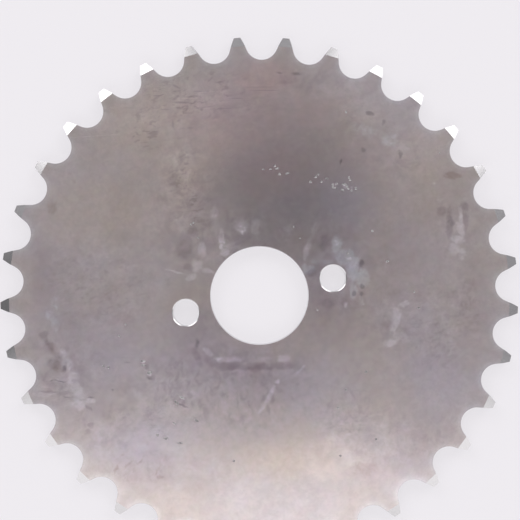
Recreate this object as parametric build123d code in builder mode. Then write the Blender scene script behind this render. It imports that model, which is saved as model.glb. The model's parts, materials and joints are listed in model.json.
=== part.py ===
from build123d import *

import os
from math import acos, cos, degrees, radians, sin

# Plate sprocket for a half-inch roller chain: one flat steel plate with a
# turned bevel on both sides of the rim, roller seats all round it, a plain
# bore and two screw holes beside the bore.
#
# Millimetres. The origin is the centre of the bore on the mid plane of the
# plate, which is where the chain's centre line runs. +Z points out of the
# upper face, and the line through the two screw holes is the X axis. A tooth
# space is centred on +X.

# Chain
chain_pitch = 12.7  # distance between the roller centres
roller_diameter = 8.51

# Teeth
tooth_count = 33
seat_angle = 132.0  # angle that the roller seat spans, in degrees
seat_play = 0.04  # how much larger the seat's radius is than the roller's
tip_height = 1.95  # tooth tip above the pitch circle

# Plate
plate_thickness = 4.5
rim_bevel_width = 2.5  # measured along the radius, from the tooth tips inwards
rim_bevel_depth = 0.9  # taken off each face at the tooth tips

# Bore and screw holes
bore_diameter = 26.0
screw_hole_diameter = 7.0
screw_hole_count = 2
screw_circle_diameter = 40.0

# Edge breaks
bore_edge_break = 0.3
screw_hole_edge_break = 0.2
tooth_edge_break = 0.15

# Rim radii that follow from the chain and the number of teeth
half_pitch_angle = 180.0 / tooth_count
pitch_radius = chain_pitch / (2 * sin(radians(half_pitch_angle)))
root_radius = pitch_radius - roller_diameter / 2
tip_radius = pitch_radius + tip_height
bevel_start_radius = tip_radius - rim_bevel_width

# Tooth space: a seat arc under the roller, and a flank arc on each side that
# is tangent to it and bulges out of the tooth
seat_radius = roller_diameter / 2 + seat_play
seat_centre_radius = root_radius + seat_radius
half_seat_angle = seat_angle / 2
flank_radius = 0.12 * roller_diameter * (tooth_count + 2)  # standard least flank
flank_centre_distance = seat_radius + flank_radius
flank_centre_x = seat_centre_radius - flank_centre_distance * cos(radians(half_seat_angle))
flank_centre_y = flank_centre_distance * sin(radians(half_seat_angle))
space_mouth_x = tip_radius + seat_radius / 4  # the cut runs clear of the tips
flank_end_angle = degrees(acos((space_mouth_x - flank_centre_x) / flank_radius))
flank_sweep = half_seat_angle - flank_end_angle

half_thickness = plate_thickness / 2
rim_half_thickness = half_thickness - rim_bevel_depth


with BuildSketch() as tooth_space:
    with BuildLine():
        seat = CenterArc(
            center=(seat_centre_radius, 0),
            radius=seat_radius,
            start_angle=180 - half_seat_angle,
            arc_size=seat_angle,
        )
        upper_flank = CenterArc(
            center=(flank_centre_x, flank_centre_y),
            radius=flank_radius,
            start_angle=-half_seat_angle,
            arc_size=flank_sweep,
        )
        lower_flank = CenterArc(
            center=(flank_centre_x, -flank_centre_y),
            radius=flank_radius,
            start_angle=half_seat_angle,
            arc_size=-flank_sweep,
        )
        Line(upper_flank @ 1, lower_flank @ 1)
    make_face()


with BuildPart() as sprocket_plate:
    # Turned blank: a disc with a bevel on both sides of its rim
    with BuildSketch(Plane.XZ):
        with BuildLine():
            Polyline(
                (0, -half_thickness),
                (bevel_start_radius, -half_thickness),
                (tip_radius, -rim_half_thickness),
                (tip_radius, rim_half_thickness),
                (bevel_start_radius, half_thickness),
                (0, half_thickness),
                close=True,
            )
        make_face()
    revolve(axis=Axis.Z)

    # Tooth spaces, cut right through the rim
    with BuildSketch():
        with PolarLocations(0, tooth_count):
            add(tooth_space.sketch)
    extrude(amount=plate_thickness, both=True, mode=Mode.SUBTRACT)
    tooth_walls = sprocket_plate.faces(Select.LAST).filter_by(GeomType.CYLINDER)
    wall_edges_by_height = tooth_walls.edges().group_by(Axis.Z)
    face_outlines = wall_edges_by_height[0] + wall_edges_by_height[-1]
    chamfer(face_outlines, length=tooth_edge_break)

    # Bore
    Hole(radius=bore_diameter / 2)
    bore_edges = sprocket_plate.edges(Select.LAST).filter_by(GeomType.CIRCLE)
    chamfer(bore_edges, length=bore_edge_break)

    # Screw holes on their circle
    with PolarLocations(screw_circle_diameter / 2, screw_hole_count):
        Hole(radius=screw_hole_diameter / 2)
    screw_hole_edges = sprocket_plate.edges(Select.LAST).filter_by(GeomType.CIRCLE)
    chamfer(screw_hole_edges, length=screw_hole_edge_break)


os.makedirs("parts", exist_ok=True)
sprocket_plate.part.label = "sprocket_plate"
export_step(sprocket_plate.part, "parts/sprocket_plate.step")
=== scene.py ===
"""Plate sprocket for a half-inch roller chain: the finished model and its studio."""

import json
import math
from functools import cache, partial

import bpy
from bpy.props import FloatProperty, FloatVectorProperty, IntProperty, PointerProperty
from mathutils import Euler, Matrix, Vector

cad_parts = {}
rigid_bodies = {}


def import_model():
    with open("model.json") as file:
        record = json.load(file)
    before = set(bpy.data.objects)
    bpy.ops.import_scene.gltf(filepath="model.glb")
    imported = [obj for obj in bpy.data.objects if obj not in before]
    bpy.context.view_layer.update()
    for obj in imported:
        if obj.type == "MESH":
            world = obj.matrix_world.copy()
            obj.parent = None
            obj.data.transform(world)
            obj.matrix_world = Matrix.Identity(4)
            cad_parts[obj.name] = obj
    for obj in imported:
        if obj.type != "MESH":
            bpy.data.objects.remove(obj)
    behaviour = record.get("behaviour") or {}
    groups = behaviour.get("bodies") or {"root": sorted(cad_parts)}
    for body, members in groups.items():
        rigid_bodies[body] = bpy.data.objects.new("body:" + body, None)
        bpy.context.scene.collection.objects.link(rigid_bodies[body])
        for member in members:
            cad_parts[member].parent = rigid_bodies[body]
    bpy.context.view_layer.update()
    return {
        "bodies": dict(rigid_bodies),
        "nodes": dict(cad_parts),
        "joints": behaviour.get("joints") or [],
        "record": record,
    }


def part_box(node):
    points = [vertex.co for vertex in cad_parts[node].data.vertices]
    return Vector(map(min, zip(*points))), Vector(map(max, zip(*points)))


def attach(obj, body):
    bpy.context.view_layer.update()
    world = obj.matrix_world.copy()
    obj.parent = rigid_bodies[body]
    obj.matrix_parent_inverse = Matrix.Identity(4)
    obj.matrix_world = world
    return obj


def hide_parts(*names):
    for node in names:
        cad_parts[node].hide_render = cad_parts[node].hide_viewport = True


bl_info = {
    "name": "Plate sprocket",
    "version": (1, 0, 0),
    "blender": (4, 5, 0),
    "location": "3D View > Sidebar > Sprocket",
    "description": "Models a worn steel plate sprocket and sets up a studio round it",
    "category": "Add Mesh",
}

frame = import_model()
plate_low, plate_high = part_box("sprocket_plate")

MM = 0.001
TENTH = 0.1 * MM
CLEARANCE = 0.5 * MM  # how far a cutter reaches past the surface it cuts
MERGE_BELOW = 0.006 * MM  # vertices this close are merged after a cut
COLLAPSE_BELOW = 0.002 * MM  # edges this short are collapsed after a cut
# Off every axis of symmetry, so that no two vertices are equally far from it
SORTING_POINT = (0.31, 0.173, 0.117)
VIEW_TURN = -13  # degrees that the camera is turned against the plate
WHITE = (1.0, 1.0, 1.0)


# --- settings


def setting(kind, name, description, default, **shown):
    """A setting that isn't below 0, and how the sidebar shows it."""
    return kind(name=name, description=description, default=default, min=0.0, **shown)


length = partial(setting, FloatProperty, precision=5, subtype="DISTANCE", unit="LENGTH")
share = partial(setting, FloatProperty, max=1.0, subtype="FACTOR")
brightness = partial(setting, FloatProperty)
colour = partial(setting, FloatVectorProperty, max=1.0, size=3, subtype="COLOR")


class SprocketSizes(bpy.types.PropertyGroup):
    """Sizes of the sprocket plate."""

    tooth_count: IntProperty(name="Teeth", description="Number of teeth", default=33, min=9)
    chain_pitch: length("Chain pitch", "Distance between the chain's roller centres", 12.7 * MM)
    roller_diameter: length("Roller diameter", "Diameter of the chain's rollers", 8.51 * MM)
    seat_play: length(
        "Seat play", "How much larger the seat's radius is than the roller's", 0.04 * MM
    )
    seat_angle: FloatProperty(
        name="Seat angle",
        description="Angle that each roller seat spans",
        default=math.radians(132),
        subtype="ANGLE",
        unit="ROTATION",
    )
    tip_height: length("Tip height", "Height of the tooth tips above the pitch circle", 1.95 * MM)
    thickness: length("Plate thickness", "Thickness of the plate", plate_high.z - plate_low.z)
    rim_bevel_width: length(
        "Rim bevel width", "Width of the turned bevel, along the radius", 2.5 * MM
    )
    rim_bevel_depth: length(
        "Rim bevel depth", "What the turned bevel takes off at the tips", 0.9 * MM
    )
    bore_diameter: length("Bore", "Diameter of the bore", 26 * MM)
    bore_break: length("Bore edge break", "Chamfer on the bore's edges", 0.08 * MM)
    screw_hole_diameter: length("Screw holes", "Diameter of the screw holes", 7 * MM)
    screw_hole_break: length(
        "Screw hole edge depth", "Depth of the screw holes' worn edges", 0.1 * MM
    )
    screw_hole_wear: length(
        "Screw hole edge width", "Width of the screw holes' worn edges", 0.21 * MM
    )
    screw_circle_diameter: length(
        "Screw circle", "Diameter of the circle the screw holes lie on", 40 * MM
    )
    upper_edge_break: length(
        "Upper edge break", "Chamfer along the tooth spaces on top", 0.06 * MM
    )
    lower_edge_break: length(
        "Lower edge break", "Chamfer under the teeth, where the blade left", 0.15 * MM
    )


class SteelFinish(bpy.types.PropertyGroup):
    """Colours and gloss of the steel."""

    clean: colour("Clean steel", "Colour of the bare steel", (0.582, 0.518, 0.525))
    warm: colour("Warm steel", "Colour of the faintly browned areas", (0.556, 0.483, 0.46))
    turned: colour("Turned steel", "Colour of the bevel and the walls", (0.62, 0.605, 0.615))
    dent: colour("Dents", "Colour of the small dents", (0.42, 0.405, 0.41))
    pit: colour("Pits", "Colour of the dark pits", (0.48, 0.45, 0.46))
    face_roughness: share("Face roughness", "Roughness of the rolled faces", 0.2)
    turned_roughness: share("Bevel roughness", "Roughness of the turned bevel", 0.22)
    wall_roughness: share("Wall roughness", "Roughness of the walls and holes", 0.13)


class StudioSettings(bpy.types.PropertyGroup):
    """The studio round the sprocket."""

    floor_colour: colour("Floor", "Colour of the paper", (0.864, 0.84, 0.873))
    floor_shade: share("Floor shade", "Share of the light that shadows take away", 0.26)
    key_radiance: brightness("Key panels", "Brightness of the two key panels", 2.5)
    fill_radiance: brightness("Fill panel", "Brightness of the wide fill panel", 0.94)
    dome_radiance: brightness("Dome", "Brightness of the studio higher up", 0.41)
    ceiling_radiance: brightness("Ceiling", "What the ceiling adds overhead", 0.165)


# --- modelling helpers


def leave_nothing_selected():
    """Go to object mode and deselect everything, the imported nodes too."""
    if bpy.context.object is not None and bpy.context.object.mode != "OBJECT":
        bpy.ops.object.mode_set(mode="OBJECT")
    bpy.ops.object.select_all(action="DESELECT")


def work_on(piece):
    """Make a piece the only selected and the active object."""
    leave_nothing_selected()
    piece.select_set(True)
    bpy.context.view_layer.objects.active = piece


def pick(piece, kind, wanted):
    """Enter edit mode with the vertices, edges or faces whose place passes a test."""
    work_on(piece)
    bpy.ops.object.mode_set(mode="EDIT")
    bpy.ops.mesh.select_mode(type=kind)
    bpy.ops.mesh.select_all(action="DESELECT")
    bpy.ops.object.mode_set(mode="OBJECT")
    mesh = piece.data
    if kind == "FACE":
        for face in mesh.polygons:
            face.select = wanted(face.center, face.normal)
    elif kind == "EDGE":
        for edge in mesh.edges:
            edge.select = wanted(*(mesh.vertices[i].co for i in edge.vertices))
    else:
        for vertex in mesh.vertices:
            vertex.select = wanted(vertex.co)
    bpy.ops.object.mode_set(mode="EDIT")


def select_everything():
    """Select the whole mesh in edit mode."""
    bpy.ops.mesh.select_all(action="SELECT")


def close_shell():
    """Turn all the normals outwards and leave edit mode."""
    select_everything()
    bpy.ops.mesh.normals_make_consistent(inside=False)
    bpy.ops.object.mode_set(mode="OBJECT")


def add_ring(sides, radius, centre):
    """Add a ring of edges, and make it the object to work on."""
    leave_nothing_selected()
    bpy.ops.mesh.primitive_circle_add(
        vertices=sides, radius=radius, fill_type="NOTHING", location=centre
    )
    bpy.ops.object.transform_apply(location=True, rotation=True, scale=True)
    return bpy.context.object


def radius_of(place):
    """Distance from the sprocket's axis."""
    return math.hypot(place.x, place.y)


def near(value, target, slack=0.01 * MM):
    """Whether two lengths are the same, within a hundredth of a millimetre."""
    return abs(value - target) < slack


def cut(piece, cutter, overlapping=False):
    """Take the cutter out of the piece, remove the cutter and merge slivers.

    A cutter whose parts overlap each other has to be named as such. The cut leaves
    its vertices in a changing order, and how they merge depends on that order, so
    they are sorted first.
    """
    work_on(piece)
    bpy.ops.object.modifier_add(type="BOOLEAN")
    boolean = piece.modifiers[-1]
    boolean.operation = "DIFFERENCE"
    boolean.solver = "EXACT"
    boolean.use_self = overlapping
    boolean.material_mode = "TRANSFER"
    boolean.object = cutter
    faces = len(piece.data.polygons)
    bpy.ops.object.modifier_apply(modifier=boolean.name)
    if len(piece.data.polygons) < faces:
        raise RuntimeError(f"the cut by {cutter.name} lost part of {piece.name}")
    bpy.data.objects.remove(cutter)
    work_on(piece)
    bpy.ops.object.mode_set(mode="EDIT")
    select_everything()
    bpy.context.scene.cursor.location = SORTING_POINT
    bpy.ops.mesh.sort_elements(type="CURSOR_DISTANCE", elements={"VERT", "EDGE", "FACE"})
    bpy.ops.mesh.remove_doubles(threshold=MERGE_BELOW)
    select_everything()
    bpy.ops.mesh.dissolve_degenerate(threshold=COLLAPSE_BELOW)
    bpy.ops.object.mode_set(mode="OBJECT")


def join(pieces):
    """Join several objects into the first one."""
    leave_nothing_selected()
    for piece in pieces:
        piece.select_set(True)
    bpy.context.view_layer.objects.active = pieces[0]
    bpy.ops.object.transform_apply(location=True, rotation=True, scale=True)
    if len(pieces) > 1:
        bpy.ops.object.join()
    return pieces[0]


# --- blank

SIDES_PER_TOOTH = 10
RING_RADII = [60 * MM, 42 * MM, 25 * MM, 15 * MM]  # loops that keep the faces' mesh even
LEVEL_NORMAL = 0.9  # a face whose normal rises or falls more than this is level
BORE_SLACK = 0.1 * MM  # vertices this close to the bore are on it


def turn_blank(sizes, pitch_radius):
    """Turn the blank: a disc with a bevel on both sides of its rim, and its bore."""
    tip_radius = pitch_radius + sizes.tip_height
    bevel_start = tip_radius - sizes.rim_bevel_width
    bore_radius = sizes.bore_diameter / 2
    half = sizes.thickness / 2
    leave_nothing_selected()
    bpy.ops.mesh.primitive_cylinder_add(
        vertices=sizes.tooth_count * SIDES_PER_TOOTH,
        radius=tip_radius,
        depth=sizes.thickness,
        end_fill_type="NGON",
        location=(0, 0, 0),
    )
    plate = bpy.context.object
    plate.name = plate.data.name = "worn_sprocket_plate"

    pick(plate, "FACE", lambda centre, normal: abs(normal.z) > LEVEL_NORMAL)
    outer = tip_radius
    for inner in [bevel_start] + RING_RADII + [bore_radius]:
        bpy.ops.mesh.inset(thickness=outer - inner, depth=0)
        outer = inner
    bpy.ops.mesh.delete(type="FACE")

    pick(plate, "VERT", lambda place: near(radius_of(place), tip_radius))
    rim_scale = 1 - sizes.rim_bevel_depth / half
    bpy.ops.transform.resize(value=(1, 1, rim_scale), center_override=(0, 0, 0))

    def on_bore(*ends):
        return all(radius_of(end) < bore_radius + BORE_SLACK for end in ends)

    pick(plate, "EDGE", on_bore)
    bpy.ops.mesh.bridge_edge_loops()

    def on_bore_edge(*ends):
        return on_bore(*ends) and near(ends[0].z, ends[1].z)

    pick(plate, "EDGE", on_bore_edge)
    bpy.ops.mesh.bevel(offset=sizes.bore_break, offset_type="OFFSET", segments=1)
    close_shell()
    return plate


# --- tooth spaces

SEAT_CIRCLE_SIDES = 60  # the seat's ends fall on its vertices
FLANK_STEPS = 7
LEAST_FLANK = 0.12  # the standard's least flank radius, over roller times teeth + 2
FLANK_SLACK = 0.02 * MM  # how closely a flank's ends are looked for
SEAT_SLACK = 0.05 * MM  # what lies this far outside the seat's ends is cut away
MOUTH = 0.25  # how far the cutter reaches past the tips, over the seat's radius
WELD_BELOW = 0.001 * MM  # ends this close are joined


def raise_levels(centre, radius, levels):
    """Raise the selected loop into a closed cutter through heights and offsets."""
    height, offset = levels[0][0], 0.0
    for level, (next_height, next_offset) in enumerate(levels):
        if level:
            bpy.ops.mesh.extrude_edges_move(
                TRANSFORM_OT_translate={"value": (0, 0, next_height - height)}
            )
        widen = (radius + next_offset) / (radius + offset)
        bpy.ops.transform.resize(value=(widen, widen, 1), center_override=centre)
        height, offset = next_height, next_offset
    bpy.ops.mesh.edge_face_add()
    cutter = bpy.context.object
    pick(cutter, "VERT", lambda place: near(place.z, levels[0][0]))
    bpy.ops.mesh.edge_face_add()
    close_shell()
    return cutter


def edge_levels(sizes, lower, upper):
    """Heights and offsets of a cutter that also takes the edges' breaks off.

    Each break is its depth and its width. It goes on past the face at its slope.
    """
    half = sizes.thickness / 2
    (low_depth, low_width), (up_depth, up_width) = lower, upper
    return [
        (-half - CLEARANCE, low_width * (1 + CLEARANCE / low_depth)),
        (-half + low_depth, 0.0),
        (half - up_depth, 0.0),
        (half + CLEARANCE, up_width * (1 + CLEARANCE / up_depth)),
    ]


def make_space_cutter(sizes, pitch_radius):
    """Model the space between two teeth: a roller seat with a flank on each side."""
    seat_radius = sizes.roller_diameter / 2 + sizes.seat_play
    root_radius = pitch_radius - sizes.roller_diameter / 2
    tip_radius = pitch_radius + sizes.tip_height
    seat_centre = root_radius + seat_radius
    half_seat = sizes.seat_angle / 2
    flank_radius = LEAST_FLANK * sizes.roller_diameter * (sizes.tooth_count + 2)
    reach = seat_radius + flank_radius
    flank_x = seat_centre - reach * math.cos(half_seat)
    flank_y = reach * math.sin(half_seat)
    mouth = tip_radius + MOUTH * seat_radius
    flank_sweep = half_seat - math.acos((mouth - flank_x) / flank_radius)
    lower = (sizes.lower_edge_break, sizes.lower_edge_break)
    upper = (sizes.upper_edge_break, sizes.upper_edge_break)
    levels = edge_levels(sizes, lower, upper)
    bottom = levels[0][0]

    cutter = add_ring(SEAT_CIRCLE_SIDES, seat_radius, (seat_centre, 0, bottom))
    seat_end = seat_centre - seat_radius * math.cos(half_seat)
    pick(cutter, "VERT", lambda place: place.x > seat_end + SEAT_SLACK)
    bpy.ops.mesh.delete(type="VERT")
    for side in (1, -1):
        end = Vector((seat_end, side * seat_radius * math.sin(half_seat), bottom))
        pick(cutter, "VERT", lambda place: (place - end).length < FLANK_SLACK)
        bpy.ops.mesh.spin(
            steps=FLANK_STEPS,
            angle=-side * flank_sweep,
            center=(flank_x, side * flank_y, bottom),
            axis=(0, 0, 1),
        )
    pick(cutter, "VERT", lambda place: near(place.x, mouth, FLANK_SLACK))
    bpy.ops.mesh.edge_face_add()

    select_everything()
    bpy.ops.mesh.remove_doubles(threshold=WELD_BELOW)
    select_everything()
    return raise_levels((seat_centre, 0, 0), seat_radius, levels)


def cut_tooth_spaces(plate, sizes, pitch_radius):
    """Cut the tooth spaces in three goes, so that no two neighbours are cut at once."""
    first = make_space_cutter(sizes, pitch_radius)
    goes = [[], [], []]
    for number in range(sizes.tooth_count):
        work_on(first)
        bpy.ops.object.duplicate()
        copy = bpy.context.object
        copy.rotation_euler.z = math.tau * number / sizes.tooth_count
        last = number == sizes.tooth_count - 1
        goes[2 if last else number % 2].append(copy)
    bpy.data.objects.remove(first)
    for copies in goes:
        cut(plate, join(copies))


# --- screw holes

SCREW_HOLE_SIDES = 96
SCREW_HOLES = 2


def drill_screw_holes(plate, sizes):
    """Drill the screw holes with their worn edges."""
    hole_radius = sizes.screw_hole_diameter / 2
    worn_edge = (sizes.screw_hole_break, sizes.screw_hole_wear)
    levels = edge_levels(sizes, worn_edge, worn_edge)
    drills = []
    for number in range(SCREW_HOLES):
        angle = math.tau * number / SCREW_HOLES
        arm = sizes.screw_circle_diameter / 2
        centre = Vector((arm * math.cos(angle), arm * math.sin(angle), levels[0][0]))
        add_ring(SCREW_HOLE_SIDES, hole_radius, centre)
        bpy.ops.object.mode_set(mode="EDIT")
        select_everything()
        drills.append(raise_levels(centre, hole_radius, levels))
    cut(plate, join(drills))


# --- dents and pits

# A hollow is x, y and two half sizes in tenths of a millimetre, and a turn in degrees.
# One without a turn is level in the camera's view.
# fmt: off
DENTS = [
    (86, 323, 3.7, 2), (105, 319, 4, 2.1), (118, 325, 3.7, 3.1, 32), (124, 317, 3.7, 2.9, -43),
    (119, 317, 2.6, 2.3), (125, 301, 3.7, 3.4), (146, 298, 5.7, 2.6, 2), (200, 262, 3.7, 3.7),
    (217, 272, 4.6, 3.1, 17), (225, 277, 3.4, 2.3, 47), (229, 256, 3.1, 3.1),
    (244, 261, 4.9, 2, -28), (256, 242, 3.4, 3.7, 47), (255, 235, 4, 2.9, -43),
    (266, 242, 3.7, 2.3), (260, 232, 2.6, 2.3), (278, 222, 4.9, 2.9, -28),
    (288, 235, 4.6, 3.4, 17), (292, 229, 3.7, 4), (294, 222, 3.1, 3.1), (302, 250, 2.9, 4, 2),
    (304, 243, 3.1, 2.6, -43), (301, 215, 3.1, 2.6), (313, 218, 3.4, 3.7), (282, 237, 2.6, 2),
    (-339, -99, 6.6, 2.6), (-341, -110, 6.6, 2.6), (-329, -133, 7.4, 4.6, 2),
    (-280, -223, 3.7, 3.1, -73), (-275, -229, 3.7, 2.9, 17), (-261, -216, 6.9, 2.9, -43),
    (-444, -88, 3.1, 3.1), (-432, -94, 2.6, 4, 2), (-134, 224, 3.4, 2.6, -28),
    (-127, 227, 3.1, 2.3, 32), (130, 157, 2.6, 2.6), (139, 123, 2.6, 2), (330, 98, 3.4, 3.4),
    (351, 11, 5, 3, 6), (334, 421, 2.8, 3.4), (-123, 186, 2.2, 2.2), (-362, 6, 2.6, 2.6),
    (-385, -20, 4, 2, -58), (401, -84, 2.8, 2.8), (403, -128, 3.4, 2.6), (551, 259, 2.2, 2.2),
    (229, -261, 3.2, 3.2), (166, -295, 2.6, 2.6), (135, -336, 3, 2.6),
]
PITS = [
    (-296, -278, 6.3, 2.6, -53), (-237, -284, 6.9, 3.2, -43), (-346, -298, 4.2, 4.2),
    (-326, -311, 6.9, 4.2), (-293, -332, 8.5, 2.9), (-165, -410, 3.4, 3.4), (112, -461, 3.4, 2.6),
    (214, -440, 3.2, 3.2), (141, -72, 2.6, 2.6), (253, 56, 3, 2.6),
]
# fmt: on
# Material, its colour and roughness, steepness at the edge in degrees, marks
HOLLOWS = [
    ("dented_steel", "dent", 0.3, 34, DENTS),
    ("pitted_steel", "pit", 0.45, 30, PITS),
]
BALL_SUBDIVISIONS = 3
UNEVENNESS = 0.05  # how far a hollow's vertices stray, over the ball's radius
RISE = 0.24  # how far a hollow's cutter rises above the face, over that radius


def turn_of(turned):
    """A mark's own turn, or that of the view."""
    return math.radians(turned[0] if turned else VIEW_TURN)


def strike_marks(plate, sizes, marks, steepness, material):
    """Sink small uneven hollows, each the foot of a squashed ball, into the face."""
    hollows = []
    for seed, (x, y, half_length, half_width, *turned) in enumerate(marks):
        widen = TENTH / math.sin(steepness)
        depth_radius = min(half_length, half_width) * widen
        leave_nothing_selected()
        bpy.ops.mesh.primitive_ico_sphere_add(subdivisions=BALL_SUBDIVISIONS, radius=1)
        hollow = bpy.context.object
        bpy.ops.object.mode_set(mode="EDIT")
        bpy.ops.transform.vertex_random(offset=UNEVENNESS, seed=seed)
        pick(hollow, "VERT", lambda place: place.z > RISE - math.cos(steepness))
        bpy.ops.mesh.delete(type="VERT")
        select_everything()
        bpy.ops.mesh.region_to_loop()
        bpy.ops.mesh.edge_face_add()
        close_shell()
        hollow.scale = (half_length * widen, half_width * widen, depth_radius)
        hollow.rotation_euler.z = turn_of(turned)
        lift = depth_radius * math.cos(steepness)
        hollow.location = (x * TENTH, y * TENTH, sizes.thickness / 2 + lift)
        hollow.data.materials.append(material)
        hollows.append(hollow)
    cut(plate, join(hollows), overlapping=True)


# --- shading

SMOOTH_BELOW = math.radians(16)  # less than the bevel's slope, more than a curve's step


def shade(plate):
    """Shade the curved surfaces smoothly and keep the flat ones flat."""
    work_on(plate)
    bpy.ops.object.shade_smooth_by_angle(angle=SMOOTH_BELOW)
    bpy.ops.object.modifier_add(type="WEIGHTED_NORMAL")
    weighting = plate.modifiers[-1]
    weighting.keep_sharp = True
    bpy.ops.object.modifier_apply(modifier=weighting.name)


# --- material helpers


def put(tree, kind, settings=None, **inputs):
    """Add a node, set its settings, and set or link its inputs.

    An input is named by its socket, with _ for a space, or as n0, n1 and so on.
    """
    node = tree.nodes.new("ShaderNode" + kind)
    for name, value in (settings or {}).items():
        setattr(node, name, value)
    for name, value in inputs.items():
        if name[0] == "n" and name[1:].isdigit():
            socket = node.inputs[int(name[1:])]
        else:
            socket = node.inputs[name.replace("_", " ")]
        if isinstance(value, bpy.types.NodeSocket):
            tree.links.new(value, socket)
        else:
            socket.default_value = value
    return node


def new_material(name):
    """A new material, its node tree and its shader."""
    material = bpy.data.materials.new(name)
    material.use_nodes = True
    tree = material.node_tree
    return material, tree, tree.nodes["Principled BSDF"]


def arithmetic(tree, operation, *values):
    """A Math node's result."""
    inputs = {f"n{number}": value for number, value in enumerate(values)}
    return put(tree, "Math", {"operation": operation}, **inputs).outputs[0]


def vectors(tree, operation, **inputs):
    """A Vector Math node's results."""
    return put(tree, "VectorMath", {"operation": operation}, **inputs).outputs


def spread(tree, value, low, high, start=0.0, end=1.0):
    """Turn the span low to high of a value smoothly into start to end.

    The step is bounded by itself. A clamp would hold every mark on Cycles' small stack.
    """
    settings = {"interpolation_type": "SMOOTHSTEP", "clamp": False}
    spans = {"From_Min": low, "From_Max": high, "To_Min": start, "To_Max": end}
    return put(tree, "MapRange", settings, Value=value, **spans).outputs["Result"]


def blend_colour(tree, factor, under, over, way="MIX"):
    """Lay one colour over another."""
    settings = {"data_type": "RGBA", "blend_type": way}
    return put(tree, "Mix", settings, n0=factor, n6=under, n7=over).outputs[2]


def noise(tree, place, size, detail=3.0, roughness=0.5, distortion=0.0, stretch=None):
    """Noise whose features are about the given size in millimetres."""
    if stretch is not None:
        turn, scale = stretch
        place = put(tree, "Mapping", Vector=place, Rotation=(0, 0, turn), Scale=scale).outputs[0]
    shape = {"Detail": detail, "Roughness": roughness, "Distortion": distortion}
    scale = 1 / (size * MM)
    return put(tree, "TexNoise", Vector=place, Scale=scale, **shape).outputs["Fac"]


def coloured_noise(tree, place, size):
    """Noise of three independent channels, of a size in millimetres."""
    scale = 1 / (size * MM)
    return put(tree, "TexNoise", Vector=place, Scale=scale, Detail=3.0).outputs["Color"]


def scaled(tree, value, factor, shift):
    """A vector times a factor plus a shift, channel by channel."""
    return vectors(tree, "MULTIPLY_ADD", n0=value, n1=factor, n2=shift)[0]


def wandering(tree, place, pattern_place, reach, size):
    """A place that strays by up to a reach, over a size, both in millimetres."""
    drift = coloured_noise(tree, pattern_place, size)
    span = reach * MM
    shift = scaled(tree, drift, (2 * span, 2 * span, 0.0), (-span, -span, 0.0))
    return vectors(tree, "ADD", n0=place, n1=shift)[0]


def turned_frames(tree, place):
    """A place in tenths of a millimetre, turned by any angle. Each is built once."""

    @cache
    def frame(turn):
        turned = put(tree, "Mapping", Vector=place, Rotation=(0, 0, -turn)).outputs[0]
        return vectors(tree, "SCALE", n0=turned, Scale=1 / TENTH)[0]

    return frame


# Where a mark begins to fade and where it ends, over its half sizes
SOFT_EDGE, PATCH_EDGE, LINE_EDGE = (0.3, 1.4), (0.35, 1.5), (0.4, 1.3)


def spots(tree, frames, marks, edge=SOFT_EDGE):
    """Soft oval spots, each fading from its strength in the middle to 0 outside."""
    field = 0.0
    for x, y, half_length, half_width, strength, *turned in marks:
        turn = turn_of(turned)
        centre = Matrix.Rotation(-turn, 2) @ Vector((x, y))
        local = scaled(
            tree,
            frames(turn),
            (1 / half_length, 1 / half_width, 0.0),
            (-centre.x / half_length, -centre.y / half_width, 0.0),
        )
        distance = vectors(tree, "LENGTH", n0=local)["Value"]
        mark = spread(tree, distance, *edge, strength, 0.0)
        field = arithmetic(tree, "MAXIMUM", field, mark)
    return field


def tinted(tree, under, factor, tint):
    """Multiply a colour by a tint, which may be above 1, as far as a factor says."""
    return blend_colour(tree, factor, under, (*tint, 1.0), "MULTIPLY")


def times(tree, *values):
    """The product of several values."""
    result = values[0]
    for value in values[1:]:
        result = arithmetic(tree, "MULTIPLY", result, value)
    return result


def colour4(values):
    """A colour with its alpha."""
    return (*values, 1.0)


# --- steel

# Where the upper face is tinted or marked. A mark is x, y and two half sizes in
# tenths of a millimetre, a strength, and a turn as above.
# fmt: off
PINK_FILM = [
    (200, -520, 79, 37, 0.3), (56, 465, 164, 127, 0.65), (137, 555, 90, 58, 0.9),
    (119, 327, 117, 90, 0.6), (217, 454, 106, 69, 0.5), (341, 289, 106, 69, 0.3),
]
WARM_FILM = [
    (-177, 519, 172, 119, 0.8, 2), (-385, 322, 132, 106, 0.7), (429, 200, 101, 138, 0.5),
    (341, 404, 146, 64, 0.4, -43), (-91, 417, 132, 117, 0.6), (6, -448, 185, 64, 0.5),
]
VIOLET_FILM = [
    (-73, 298, 42, 69, 0.35), (25, 335, 69, 53, 0.2), (185, -28, 79, 90, 0.4),
    (-406, 1, 132, 90, 0.25), (401, -269, 106, 90, 0.3), (-66, -173, 138, 53, 0.45),
    (-173, -108, 58, 79, 0.3), (-551, 171, 37, 106, 0.5), (547, -167, 53, 117, 0.35),
    (390, 33, 132, 159, 0.3),
]
BLUE_FILM = [
    (-510, -97, 164, 164, 0.9), (-420, -294, 159, 79, 0.8), (-526, 43, 79, 95, 0.5),
    (211, 25, 85, 111, 1), (-179, -133, 159, 132, 0.8), (76, -261, 185, 90, 0.6),
    (408, -352, 148, 132, 0.7), (224, 194, 132, 90, 0.7), (-154, -316, 159, 58, 0.5),
    (348, -148, 106, 90, 0.6),
]
LIGHT_FILM = [
    (520, 296, 69, 95, 1), (502, 290, 58, 74, 0.9), (-56, 197, 69, 79, 0.5),
    (393, 440, 111, 58, 0.8, -43), (-129, 350, 79, 122, 0.9), (-132, 536, 159, 69, 0.7, 2),
    (-74, 141, 48, 58, 0.9), (-209, 265, 79, 69, 0.5), (55, -446, 132, 64, 0.9),
    (-9, 420, 79, 58, 0.5),
]
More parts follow.
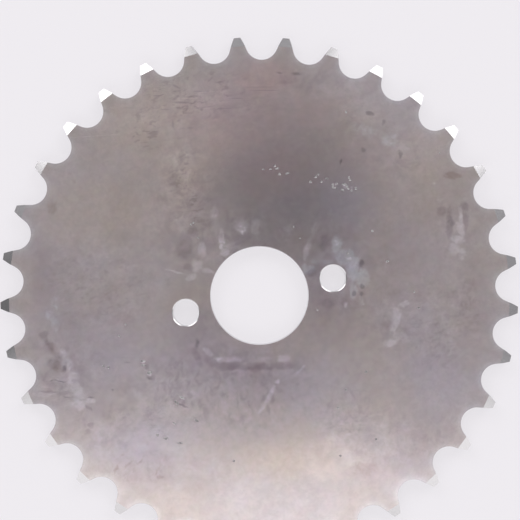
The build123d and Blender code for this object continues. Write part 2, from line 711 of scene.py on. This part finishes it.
DIM_FILM = [
    (-385, -378, 111, 58, 1), (-283, -407, 148, 53, 0.6), (326, -517, 74, 69, 1),
    (339, -461, 85, 74, 0.9), (184, -115, 85, 74, 0.8), (78, -185, 64, 48, 0.5),
    (332, 193, 95, 90, 0.4), (-35, -249, 122, 58, 1), (-196, -32, 74, 58, 0.7),
    (-511, 189, 79, 90, 0.6), (396, 58, 69, 122, 0.45), (-218, -124, 132, 58, 0.5),
    (-530, 52, 69, 53, 0.4),
]
BROWN_STAINS = [
    (-482, 353, 16, 24, 0.7), (-476, -362, 24, 4.2, 0.5, 47), (-440, -357, 24, 4.2, 0.5, 32),
    (-456, -332, 19, 3.7, 0.45, 17), (-403, -352, 21, 4, 0.5, 47), (-373, -337, 21, 3.7, 0.4, 62),
    (-366, -388, 24, 4.2, 0.5, 47), (-358, -411, 19, 7.9, 0.5), (-336, -354, 19, 3.7, 0.4, 62),
    (-563, -11, 34, 15, 0.65, -58), (-560, -61, 19, 34, 0.65, -28), (-415, 419, 26, 6.6, 0.5, -73),
    (572, 192, 26, 11, 1), (484, -125, 32, 42, 0.2), (168, -507, 58, 26, 0.4),
    (-437, -249, 37, 21, 0.25, -43),
]
WATER_STAINS = [
    (356, 375, 19, 19, 0.45), (380, 359, 24, 21, 0.6), (428, 323, 24, 24, 0.6),
    (349, 404, 26, 19, 0.25), (-114, 145, 16, 24, 0.25), (-534, 104, 16, 24, 0.45),
    (-551, 78, 21, 24, 0.5), (-544, 47, 16, 24, 0.45), (-596, -47, 19, 24, 0.4),
    (229, 84, 15, 29, 1), (244, 48, 29, 24, 1), (258, 14, 19, 40, 1), (187, 47, 37, 12, 0.6),
    (278, -17, 20, 29, 1), (271, 22, 16, 19, 0.4), (141, 39, 21, 16, 0.9), (244, -45, 12, 26, 0.9),
    (259, -75, 9.3, 26, 0.4),
]
SHADED_RUBS = [
    (535, 75, 13, 45, 1), (522, 108, 15, 15, 0.9), (583, 106, 12, 15, 1), (577, 65, 9.3, 32, 0.9),
    (-199, -115, 11, 21, 0.9, 17), (-162, -143, 26, 11, 1, -43), (-118, -165, 42, 12, 1),
    (-52, -182, 64, 12, 1), (16, -195, 34, 12, 0.9), (60, -214, 26, 11, 0.5, -28),
    (-579, 28, 13, 11, 1), (-572, -1, 26, 7.9, 0.8, -58), (-572, -50, 20, 16, 0.9),
    (-546, -71, 6.6, 9.3, 1), (-556, -37, 11, 16, 0.6, -43), (-564, -133, 21, 7.9, 0.75),
    (-506, -187, 13, 4.2, 1, -58), (-510, -232, 9.3, 8.5, 0.9), (-523, -245, 9.3, 7.9, 0.7),
    (-456, -210, 5.3, 9.3, 0.6), (-592, -102, 24, 7.9, 0.6), (-597, -122, 37, 4.2, 0.8),
    (-568, -114, 42, 3.7, 0.5), (527, 96, 21, 42, 0.45), (527, -149, 37, 13, 0.4, -28),
    (-165, 173, 24, 37, 1), (-140, 254, 26, 13, 0.6), (-166, 115, 15, 9.3, 1),
    (-132, 206, 16, 21, 0.7), (-223, 86, 26, 13, 0.4), (201, 98, 16, 29, 0.8),
    (149, 26, 13, 12, 0.9), (282, 20, 13, 13, 0.9), (172, -61, 34, 16, 0.6),
    (219, -69, 21, 21, 0.5), (284, -95, 11, 16, 0.4), (345, 38, 21, 53, 0.4),
    (204, 539, 29, 19, 0.6), (549, -102, 24, 26, 0.5), (268, -59, 13, 16, 0.5),
    (-268, -226, 24, 16, 0.5), (-338, -107, 16, 16, 0.6), (-328, -145, 13, 13, 0.6),
]
PALE_RUBS = [
    (568, 85, 7.9, 24, 1), (561, 50, 11, 24, 1, 2), (546, 26, 21, 13, 1), (530, 3, 19, 21, 0.8),
    (522, 138, 9.5, 13, 0.55), (548, -15, 12, 19, 0.7), (516, 175, 7.9, 21, 0.4),
    (-543, -29, 21, 15, 0.7, -58), (-535, -61, 32, 17, 0.75, -73), (-530, -100, 37, 19, 0.8, -88),
    (-524, -137, 34, 19, 0.8, -73), (-530, -171, 24, 21, 0.75), (-502, -169, 24, 7.9, 0.7),
    (-598, -128, 32, 6.4, 0.5, 2), (-500, -289, 53, 32, 0.3, -43), (-120, 154, 13, 21, 1),
    (-143, 116, 19, 19, 1), (-166, 86, 19, 12, 0.85, 17), (-118, 94, 19, 7.9, 0.9, -28),
    (-199, 109, 32, 3.4, 0.8, -28), (-64, 166, 9.3, 32, 1), (-63, 133, 13, 12, 1),
    (-104, 189, 7.9, 21, 0.5), (-70, 227, 12, 37, 0.6), (151, 91, 9.3, 37, 1, -28),
    (-117, -147, 50, 10, 0.8), (-166, -115, 19, 8.5, 1, -58), (25, -178, 21, 13, 0.9),
    (-24, -167, 24, 9.3, 0.6), (60, -216, 26, 4.5, 0.7, 32), (-5, -234, 9.3, 6.9, 1),
    (-33, -263, 32, 7.1, 1, 47), (-62, -294, 24, 7.1, 0.7, 47), (-4, 187, 21, 24, 0.8),
    (30, 181, 16, 24, 0.8), (107, 148, 24, 26, 0.5), (183, 138, 7.9, 32, 0.55, -28),
    (-44, 142, 26, 16, 0.6), (232, 170, 7.9, 53, 0.35), (334, -150, 13, 50, 0.8, -28),
    (309, -201, 19, 11, 1, 2), (279, -533, 24, 9, 0.4, 32), (330, -510, 24, 9, 0.4, 47),
    (311, -478, 21, 7.9, 0.3, 47), (368, -109, 21, 9.3, 0.7, 2), (319, -95, 7.9, 21, 0.4),
    (-255, 183, 16, 79, 0.3), (-245, 344, 21, 58, 0.25),
]
DARK_SPOTS = [
    (536, 75, 11, 29, 0.5), (583, 107, 9.3, 11, 0.4), (576, 60, 7.9, 21, 0.3),
    (395, 402, 13, 5.8, 0.9, -28), (426, 370, 5.8, 11, 0.6), (451, 280, 6.9, 13, 0.8),
    (355, 313, 6.4, 9, 0.7), (283, 21, 9, 11, 0.75), (186, 90, 13, 7.9, 0.2),
    (271, -38, 7.4, 7.9, 0.9), (265, -57, 7.9, 6.9, 0.7), (245, -53, 7.4, 7.9, 1),
    (-114, -168, 32, 7.9, 0.4), (-47, -185, 48, 7.9, 0.45), (-190, -87, 7.9, 16, 0.8),
    (187, 563, 12, 2.6, 0.6, -28), (225, 550, 21, 5.3, 0.6), (290, 297, 4.8, 7.4, 1),
    (54, -253, 21, 11, 0.3), (-263, -238, 17, 4.2, 0.9, -28), (-332, -117, 7.9, 11, 0.5),
    (-239, -285, 7.9, 4.8, 0.3, -43), (-332, -149, 7.9, 4.8, 0.5), (-579, 28, 9.3, 6.9, 0.15),
    (-564, -3, 16, 4.2, 0.2, -58), (-544, -70, 5.3, 6.9, 0.8), (-570, -99, 24, 2.1, 0.9),
    (-552, -146, 19, 2.9, 0.6), (-493, -163, 11, 2.6, 0.7), (-433, -154, 5.3, 4.2, 0.6, -43),
    (-381, -92, 11, 2.1, 0.5), (-166, 114, 7.9, 5.3, 0.2),
]
# Pale spots; those that sit on the dents are painted glints that brighten them
PALE_SPOTS_AND_GLINTS = [
    (-341, -100, 5, 4.5, 0.8), (-329, -137, 6.1, 4.2, 0.7), (-279, -224, 3.4, 7.9, 0.55, 17),
    (-262, -221, 7.9, 2.9, 0.55, 2), (315, 106, 19, 2.1, 0.3), (258, 237, 7.9, 6.9, 0.45),
    (286, 228, 9, 7.9, 0.5), (303, 223, 6.4, 6.4, 0.4), (-3, 181, 13, 13, 0.55),
    (27, 185, 7.9, 11, 0.3), (-69, 159, 7.9, 24, 0.4), (232, 93, 7.9, 16, 0.5),
    (253, 41, 11, 5.3, 0.45), (258, -93, 7.9, 21, 0.3), (217, -77, 6.6, 13, 0.7),
    (-135, -141, 32, 5.8, 0.35), (154, 101, 5.8, 21, 0.4, -28), (-5, -234, 6.6, 5.3, 0.5),
    (568, 84, 6.4, 16, 0.3), (541, 25, 16, 7.9, 0.3), (-528, -82, 21, 6.6, 0.3, -73),
    (307, -204, 13, 5.3, 0.25, 2),
]
SCORES = [
    (114, 540, 45, 1.3, 0.4), (138, 526, 42, 1.3, 0.8), (236, 512, 42, 1.3, 0.25),
    (62, 522, 24, 1.5, 0.6), (21, 504, 50, 1.3, 0.55, -9), (-84, 545, 21, 2.9, 1),
    (-143, 577, 13, 1.9, 1), (-132, 537, 13, 1.6, 0.7), (-87, 588, 13, 2.6, 0.8, -39),
    (27, 574, 13, 2.6, 0.7, -9), (-36, 564, 13, 2.6, 0.6), (-27, 519, 32, 1.2, 0.6, -9),
    (-221, 562, 19, 1.6, 0.3), (-117, 600, 26, 1.2, 0.4, -9), (-78, 474, 7.9, 4.2, 0.6),
    (-120, 495, 3.2, 11, 0.6),
]
SCRATCHES = [
    (-318, 509, 87, 1.1, 0.3, -9), (-55, 550, 32, 1.3, 0.4, -9), (-13, 557, 29, 1.2, 0.4, -9),
    (133, 541, 48, 1.2, 0.2),
]
FLECKED_AREAS = [
    (-193, 506, 122, 79, 0.8), (-33, 553, 159, 69, 1), (-116, 314, 64, 111, 0.9),
    (-407, 110, 159, 111, 0.4), (445, -198, 132, 132, 0.4), (-359, -267, 106, 58, 0.5),
    (171, -378, 90, 53, 0.5),
]
FEATHERED_AREAS = [
    (540, -139, 53, 64, 0.6), (-580, -107, 90, 69, 0.5), (-407, -357, 117, 58, 0.6),
    (342, -174, 132, 159, 0.4), (-521, -53, 90, 132, 0.35), (346, -446, 132, 95, 0.4),
    (-99, -255, 185, 90, 1), (-255, -170, 111, 90, 0.8), (149, -359, 90, 90, 0.6),
    (-141, -88, 69, 69, 0.5),
]
SMEARED_AREAS = [
    (-32, 180, 122, 90, 0.7), (241, 35, 117, 154, 0.5), (551, 44, 69, 148, 0.4),
    (133, 188, 148, 79, 0.3), (-565, -76, 117, 106, 0.6), (-132, 290, 90, 169, 0.9),
    (384, 333, 132, 90, 0.35, -43), (-65, -171, 169, 48, 0.5), (332, -158, 64, 117, 0.6),
    (-319, -209, 159, 90, 0.5), (477, -178, 95, 117, 0.5), (-401, 136, 159, 159, 0.4),
    (-42, 515, 185, 79, 0.45), (198, -439, 159, 69, 0.6), (-465, -256, 106, 64, 0.6),
    (309, 501, 106, 48, 0.5), (458, 262, 58, 79, 0.6),
]
# fmt: on
# tint, marks
FILMS = [
    ((1.085, 0.975, 0.98), PINK_FILM),
    ((1.03, 1.0, 0.915), WARM_FILM),
    ((0.88, 0.84, 0.885), VIOLET_FILM),
    ((0.965, 0.985, 1.075), BLUE_FILM),
    ((1.13, 1.12, 1.12), LIGHT_FILM),
    ((0.9, 0.89, 0.9), DIM_FILM),
]
# tint, added roughness, marks
PATCHES = [
    ((0.8, 0.75, 0.73), 0.0, BROWN_STAINS),
    ((1.17, 1.27, 1.29), 0.02, WATER_STAINS),
    ((0.83, 0.81, 0.83), 0.0, SHADED_RUBS),
    ((1.22, 1.25, 1.28), 0.01, PALE_RUBS),
    ((0.66, 0.65, 0.67), 0.0, DARK_SPOTS),
    # pale spots, partly painted glints on the dents
    ((1.45, 1.48, 1.52), 0.04, PALE_SPOTS_AND_GLINTS),
]
# tint, marks
LINES = [
    ((0.78, 0.76, 0.79), SCORES),
    ((1.3, 1.3, 1.32), SCRATCHES),
]
# A turn, and each axis's scale
ALONG_ROLLING = (math.radians(13), (0.45, 1.0, 1.0))
ACROSS_ROLLING = (math.radians(-12), (1.0, 0.7, 1.0))
# Size in millimetres, detail, roughness, distortion, stretch
PATTERNS = {
    "broad": (30, 2.0),
    "clouds": (5, 4.0, 0.55),
    "mottle": (1.6, 4.0, 0.6, 0.4),
    "grain": (0.5, 2.0, 0.6),
    "ragged": (1.7, 4.0, 0.65, 0.5),
    "strokes": (0.9, 2.0, 0.6, 0.6, ALONG_ROLLING),
    "feathers": (1.9, 3.0, 0.6, 0.5, ACROSS_ROLLING),
    "smears": (4.5, 4.0, 0.6, 0.35),
}
FACES_DIFFER = (1, 1, 30)  # stretched along the thickness, so that the two faces differ
# Noise at which something begins and is full
WARM_SPAN, TONE_SPAN, GLOSS_SPAN = (0.35, 0.68), (0.35, 0.65), (0.3, 0.7)
STROKE_SPAN, CLOUD_SPAN, PATCH_SPAN = (0.53, 0.62), (0.42, 0.55), (0.2, 0.95)
# How far marks stray and over what size, in millimetres
LOOSE, TIGHT = (4, 12), (0.7, 2)
HUE_SIZE = 3  # millimetres
HUE_SHIFT = 0.09  # how far each colour channel varies
DARKENED_BY = (("clouds", 0.95), ("mottle", 0.94), ("grain", 0.97))
# A lighter band along each seat: wear of the edge together with painted sheen of its rolled-off
# edge
RIM_WEAR_AND_SHEEN = ((1.6, 0.6), (4.5, 0.25))  # reach in millimetres, strength at the seat
RIM_WEAR_AND_SHEEN_TINT = (1.16, 1.23, 1.26)
FLECK_TINT = (0.79, 0.76, 0.78)
# Noise at which streaks begin and are full, tint
FEATHER_STREAKS = ((0.5, 0.66, (1.07, 1.07, 1.09)), (0.5, 0.34, (0.85, 0.83, 0.85)))
SMEAR_STREAKS = ((0.5, 0.62, (1.13, 1.13, 1.16)), (0.5, 0.38, (0.85, 0.83, 0.86)))
TORN = 1.25  # how much noise tears the edges of the patches
LEVEL_SPAN = (0.965, 0.985)  # the normal's height, from the bevel to the level faces
WALL_SPAN = (0.5, 0.2)  # the normal's height, from the bevel to the walls
GLOSS_VARIES = 0.01
SHEAR_MARKS = (0.7, 3.0, 0.6, 0.0, (0.0, (1.0, 1.0, 0.06)))  # run through the thickness
FACE_RELIEF, WALL_RELIEF = 0.2, 3.0
RELIEF_STRENGTH, RELIEF_DEPTH = 0.4, 0.006 * MM


def rim_wear_and_sheen(tree, place, sizes, pitch_radius):
    """How much a place on the face is lightened near the seat of its tooth space, by wear and by
    painted sheen of the rolled edge.
    """
    step = math.tau / sizes.tooth_count
    parts = put(tree, "SeparateXYZ", Vector=place).outputs
    x, y = parts["X"], parts["Y"]
    square = arithmetic(tree, "ADD", times(tree, x, x), times(tree, y, y))
    radius = arithmetic(tree, "SQRT", square)
    turn = arithmetic(tree, "ARCTAN2", y, x)
    turn = arithmetic(tree, "WRAP", turn, step / 2, -step / 2)
    pull = times(tree, radius, arithmetic(tree, "COSINE", turn), 2 * pitch_radius)
    square = arithmetic(tree, "SUBTRACT", square, pull)
    square = arithmetic(tree, "ADD", square, pitch_radius**2)
    reach = arithmetic(tree, "SQRT", square)
    seat = sizes.roller_diameter / 2
    close, wide = (
        spread(tree, reach, seat, seat + width * MM, strength, 0.0)
        for width, strength in RIM_WEAR_AND_SHEEN
    )
    return arithmetic(tree, "ADD", close, wide)


def plain_steel(tree, patterns, sheet, finish, rim):
    """The steel between the marks: warm and clean areas, faint hues, the rim lightened by wear and
    painted sheen.
    """
    warmth = spread(tree, patterns["broad"], *WARM_SPAN)
    hues = coloured_noise(tree, sheet, HUE_SIZE)
    tone = blend_colour(tree, warmth, colour4(finish.clean), colour4(finish.warm))
    hue = scaled(tree, hues, (HUE_SHIFT,) * 3, (1 - HUE_SHIFT / 2,) * 3)
    tone = blend_colour(tree, 1.0, tone, hue, "MULTIPLY")
    for name, tint in DARKENED_BY:
        tone = tinted(tree, tone, spread(tree, patterns[name], *TONE_SPAN), (tint,) * 3)
    # Lighten the rim: wear and painted sheen of the rolled edge
    return tinted(tree, tone, rim, RIM_WEAR_AND_SHEEN_TINT)


def streaked(tree, tone, pattern, area, streaks):
    """Lay light and dark streaks of a pattern over an area of a colour."""
    for begin, full, tint in streaks:
        streak = times(tree, spread(tree, pattern, begin, full), area)
        tone = tinted(tree, tone, streak, tint)
    return tone


def marked_steel(tree, patterns, tone, sheet, place):
    """The upper face's colour with all its marks, and how much they dull it."""
    loose = turned_frames(tree, wandering(tree, place, sheet, *LOOSE))
    tight = turned_frames(tree, wandering(tree, place, sheet, *TIGHT))
    still = turned_frames(tree, place)
    for tint, marks in FILMS:
        tone = tinted(tree, tone, spots(tree, loose, marks), tint)
    flecks = times(
        tree,
        spread(tree, patterns["strokes"], *STROKE_SPAN),
        spread(tree, patterns["clouds"], *CLOUD_SPAN),
        spots(tree, loose, FLECKED_AREAS),
    )
    tone = tinted(tree, tone, flecks, FLECK_TINT)
    area = spots(tree, loose, FEATHERED_AREAS)
    tone = streaked(tree, tone, patterns["feathers"], area, FEATHER_STREAKS)
    area = spots(tree, loose, SMEARED_AREAS)
    tone = streaked(tree, tone, patterns["smears"], area, SMEAR_STREAKS)

    dulled = 0.0
    centred = arithmetic(tree, "SUBTRACT", patterns["ragged"], 0.5)
    torn = times(tree, centred, TORN)
    for tint, roughness, marks in PATCHES:
        reach = arithmetic(tree, "ADD", spots(tree, tight, marks, PATCH_EDGE), torn)
        patch = spread(tree, reach, *PATCH_SPAN)
        tone = tinted(tree, tone, patch, tint)
        if roughness:
            dulled = arithmetic(tree, "ADD", dulled, times(tree, patch, roughness))
    for tint, marks in LINES:
        tone = tinted(tree, tone, spots(tree, still, marks, LINE_EDGE), tint)
    return tone, dulled


def make_steel(finish, sizes, pitch_radius):
    """Worn bare steel: rolled faces, turned bevel, sheared tooth walls."""
    material, tree, shader = new_material("worn_bare_steel")
    source = put(tree, "TexCoord")
    place = source.outputs["Object"]
    facing = put(tree, "SeparateXYZ", Vector=source.outputs["Normal"]).outputs["Z"]
    upright = arithmetic(tree, "ABSOLUTE", facing)
    on_face = spread(tree, upright, *LEVEL_SPAN)
    on_top = spread(tree, facing, *LEVEL_SPAN)
    on_wall = spread(tree, upright, *WALL_SPAN)
    sheet = put(tree, "Mapping", Vector=place, Scale=FACES_DIFFER).outputs[0]
    patterns = {
        name: noise(tree, sheet, *settings) for name, settings in PATTERNS.items()
    }

    # The rim's band of wear and painted sheen
    rim = rim_wear_and_sheen(tree, place, sizes, pitch_radius)
    plain = plain_steel(tree, patterns, sheet, finish, rim)
    marked, dulled = marked_steel(tree, patterns, plain, sheet, place)
    face = blend_colour(tree, on_top, plain, marked)
    bare = blend_colour(tree, on_face, colour4(finish.turned), face)
    tree.links.new(bare, shader.inputs["Base Color"])

    least = finish.face_roughness - GLOSS_VARIES
    most = finish.face_roughness + GLOSS_VARIES
    gloss = spread(tree, patterns["clouds"], *GLOSS_SPAN, least, most)
    gloss = arithmetic(tree, "ADD", gloss, times(tree, dulled, on_top))
    edges = spread(tree, on_wall, 0, 1, finish.turned_roughness, finish.wall_roughness)
    step = arithmetic(tree, "SUBTRACT", gloss, edges)
    rough = arithmetic(tree, "ADD", times(tree, step, on_face), edges)
    tree.links.new(rough, shader.inputs["Roughness"])

    shear = noise(tree, place, *SHEAR_MARKS)
    relief = arithmetic(
        tree,
        "ADD",
        times(tree, patterns["mottle"], on_face, FACE_RELIEF),
        times(tree, shear, on_wall, WALL_RELIEF),
    )
    bump = put(tree, "Bump", Strength=RELIEF_STRENGTH, Distance=RELIEF_DEPTH, Height=relief)
    tree.links.new(bump.outputs[0], shader.inputs["Normal"])
    shader.inputs["Metallic"].default_value = 1.0
    return material


MARK_MOTTLE = (0.4, 2.0, 0.6)  # size in millimetres, detail, roughness
MARK_DARKEST = 0.55  # the darkest mottle, over the mark's own colour


def make_mark_steel(name, base, roughness):
    """Steel inside a dent or a pit, mottled at its own small scale."""
    material, tree, shader = new_material(name)
    place = put(tree, "TexCoord").outputs["Object"]
    mottle = spread(tree, noise(tree, place, *MARK_MOTTLE), *TONE_SPAN)
    tone = tinted(tree, colour4(base), mottle, (MARK_DARKEST,) * 3)
    tree.links.new(tone, shader.inputs["Base Color"])
    shader.inputs["Metallic"].default_value = 1.0
    shader.inputs["Roughness"].default_value = roughness
    return material


# --- operators


class SPROCKET_OT_make_plate(bpy.types.Operator):
    """Model the worn sprocket plate and give it its steel"""

    bl_idname = "sprocket.make_plate"
    bl_label = "Make the sprocket plate"

    def execute(self, context):
        sizes = context.scene.sprocket_sizes
        finish = context.scene.sprocket_finish
        pitch_radius = sizes.chain_pitch / (2 * math.sin(math.pi / sizes.tooth_count))
        plate = turn_blank(sizes, pitch_radius)
        cut_tooth_spaces(plate, sizes, pitch_radius)
        drill_screw_holes(plate, sizes)
        plate.data.materials.clear()
        plate.data.materials.append(make_steel(finish, sizes, pitch_radius))
        for name, tone, roughness, steepness, marks in HOLLOWS:
            steel = make_mark_steel(name, getattr(finish, tone), roughness)
            strike_marks(plate, sizes, marks, math.radians(steepness), steel)
        shade(plate)
        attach(plate, "root")
        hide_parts("sprocket_plate")
        return {"FINISHED"}


# --- stage

FLOOR_SIDE = 12
# Name, distance, azimuth and zenith in degrees, width, height, brightness, tint
PANELS = [
    ("key_panel_right", 0.8, 37, 46, 0.47, 0.42, "key_radiance", WHITE),
    ("key_panel_left", 0.8, 115.5, 46, 0.465, 0.42, "key_radiance", WHITE),
    ("fill_panel", 0.6, 256.5, 34, 1.42, 0.47, "fill_radiance", (0.99, 0.985, 0.982)),
]
# Name, place, turn in degrees, width, height, tone
LEVEL_FLAGS = [
    ("flag_by_camera", (0.029, 0.0465, 0.42), VIEW_TURN, 0.088, 0.072, 0.25),
    ("flag_over_bore", (0.0145, 0.015, 0.43), -19, 0.066, 0.22, 0.62),
]
# Name, distance, azimuth and zenith in degrees, width, height, tone
SIDE_FLAGS = [
    ("flag_left", 0.7, 171, 42, 0.25, 0.36, 0.02),
    ("flag_right", 0.45, 333, 42, 0.065, 0.2, 0.02),
]
CARD_ROUGHNESS = 0.9
WALL_COLOUR = (0.98, 0.97, 1.0, 1.0)
DOME_SPAN = (0.1, 0.5)  # heights of view between which the walls become the dome
CEILING_SPAN = (0.86, 0.975)  # heights of view between which the ceiling sets in
CAMERA_PLACE = (0.00076, 0.00617, 0.30225)
CAMERA_TURN = (0.613, -0.156, -13.145)  # degrees
CAMERA_SENSOR, CAMERA_LENS = 36, 78.45  # millimetres


def make_paper(studio):
    """Pale paper whose shadows stay soft, while the light it throws back is plain."""
    paper, tree, shader = new_material("pale_paper")
    tree.nodes.remove(shader)
    tint = colour4(studio.floor_colour)
    shaded = colour4(studio.floor_shade * part for part in studio.floor_colour)
    plain = put(tree, "BsdfDiffuse", Color=tint).outputs[0]
    soft = put(tree, "BsdfDiffuse", Color=shaded).outputs[0]
    lit = put(tree, "Emission", Color=tint, Strength=1 - studio.floor_shade).outputs[0]
    seen = put(tree, "AddShader", n0=soft, n1=lit).outputs[0]
    ray = put(tree, "LightPath").outputs
    direct = ray["Is Camera Ray"]
    for name in ("Is Glossy Ray", "Is Transmission Ray"):
        direct = arithmetic(tree, "MAXIMUM", direct, ray[name])
    surface = put(tree, "MixShader", n0=direct, n1=plain, n2=seen).outputs[0]
    tree.links.new(surface, tree.nodes["Material Output"].inputs["Surface"])
    return paper


def point_at(distance, azimuth, zenith):
    """Place seen from the sprocket's centre at two angles in degrees, and a turn to it."""
    direction = Vector((0, 0, distance))
    direction.rotate(Euler((0, math.radians(zenith), math.radians(azimuth))))
    return direction, direction.to_track_quat("Z", "Y").to_euler()


def hang_panel(name, distance, azimuth, zenith, width, height, radiance, tint):
    """Hang a softbox that faces the sprocket."""
    place, turn = point_at(distance, azimuth, zenith)
    leave_nothing_selected()
    bpy.ops.object.light_add(type="AREA", location=place, rotation=turn)
    panel = bpy.context.object
    panel.name = name
    panel.data.shape = "RECTANGLE"
    panel.data.size = width
    panel.data.size_y = height
    panel.data.energy = radiance * math.pi * width * height
    panel.data.color = tint
    panel.visible_camera = False


def hang_flag(name, place, turn, width, height, tone):
    """Hang a dark card that the steel mirrors. The camera looks through it."""
    leave_nothing_selected()
    bpy.ops.mesh.primitive_plane_add(size=1, location=place)
    flag = bpy.context.object
    flag.name = name
    flag.rotation_euler = turn
    flag.scale = (width, height, 1)
    card, _, shader = new_material(name + "_card")
    shader.inputs["Base Color"].default_value = colour4((tone, tone, tone))
    shader.inputs["Roughness"].default_value = CARD_ROUGHNESS
    flag.data.materials.append(card)
    flag.visible_camera = False


def light_walls(world, studio):
    """Light the studio: bright low down, the dome above, a ceiling overhead."""
    world.use_nodes = True
    tree = world.node_tree
    background = tree.nodes["Background"]
    direction = put(tree, "TexCoord").outputs["Generated"]
    height = put(tree, "SeparateXYZ", Vector=direction).outputs["Z"]
    walls = spread(tree, height, *DOME_SPAN, 1.0, studio.dome_radiance)
    ceiling = spread(tree, height, *CEILING_SPAN, 0.0, studio.ceiling_radiance)
    radiance = arithmetic(tree, "ADD", walls, ceiling)
    tree.links.new(radiance, background.inputs["Strength"])
    background.inputs["Color"].default_value = WALL_COLOUR


class SPROCKET_OT_set_stage(bpy.types.Operator):
    """Lay the paper floor, hang the softboxes and set up the camera"""

    bl_idname = "sprocket.set_stage"
    bl_label = "Set the stage"

    def execute(self, context):
        studio = context.scene.sprocket_studio
        leave_nothing_selected()
        bpy.ops.mesh.primitive_plane_add(size=FLOOR_SIDE, location=(0, 0, plate_low.z))
        floor = bpy.context.object
        floor.name = "paper_floor"
        floor.data.materials.append(make_paper(studio))

        for name, *placing, radiance, tint in PANELS:
            hang_panel(name, *placing, getattr(studio, radiance), tint)
        for name, place, turn, *card in LEVEL_FLAGS:
            hang_flag(name, place, (0, 0, math.radians(turn)), *card)
        for name, distance, azimuth, zenith, *card in SIDE_FLAGS:
            hang_flag(name, *point_at(distance, azimuth, zenith), *card)

        context.scene.world = bpy.data.worlds.new("studio_walls")
        light_walls(context.scene.world, studio)

        leave_nothing_selected()
        turn = [math.radians(angle) for angle in CAMERA_TURN]
        bpy.ops.object.camera_add(location=CAMERA_PLACE, rotation=turn)
        camera = bpy.context.object
        camera.name = "overhead_camera"
        camera.data.sensor_width = CAMERA_SENSOR
        camera.data.lens = CAMERA_LENS
        camera.data.clip_start = 10 * MM
        context.scene.camera = camera
        context.scene.view_settings.view_transform = "Standard"
        return {"FINISHED"}


class SPROCKET_PT_panel(bpy.types.Panel):
    """Sizes, finish and studio of the sprocket"""

    bl_idname = "SPROCKET_PT_panel"
    bl_label = "Plate sprocket"
    bl_space_type = "VIEW_3D"
    bl_region_type = "UI"
    bl_category = "Sprocket"

    def draw(self, context):
        layout = self.layout
        for group in (
            context.scene.sprocket_sizes,
            context.scene.sprocket_finish,
            context.scene.sprocket_studio,
        ):
            box = layout.box()
            for name in group.__annotations__:
                box.prop(group, name)
        for operator in (SPROCKET_OT_make_plate, SPROCKET_OT_set_stage):
            layout.operator(operator.bl_idname)


classes = (
    SprocketSizes,
    SteelFinish,
    StudioSettings,
    SPROCKET_OT_make_plate,
    SPROCKET_OT_set_stage,
    SPROCKET_PT_panel,
)


def register():
    for cls in classes:
        bpy.utils.register_class(cls)
    bpy.types.Scene.sprocket_sizes = PointerProperty(type=SprocketSizes)
    bpy.types.Scene.sprocket_finish = PointerProperty(type=SteelFinish)
    bpy.types.Scene.sprocket_studio = PointerProperty(type=StudioSettings)


def unregister():
    del bpy.types.Scene.sprocket_studio
    del bpy.types.Scene.sprocket_finish
    del bpy.types.Scene.sprocket_sizes
    for cls in reversed(classes):
        bpy.utils.unregister_class(cls)


def main():
    """Build everything."""
    register()
    bpy.ops.sprocket.set_stage()
    bpy.ops.sprocket.make_plate()
    leave_nothing_selected()


if __name__ == "__main__":
    main()
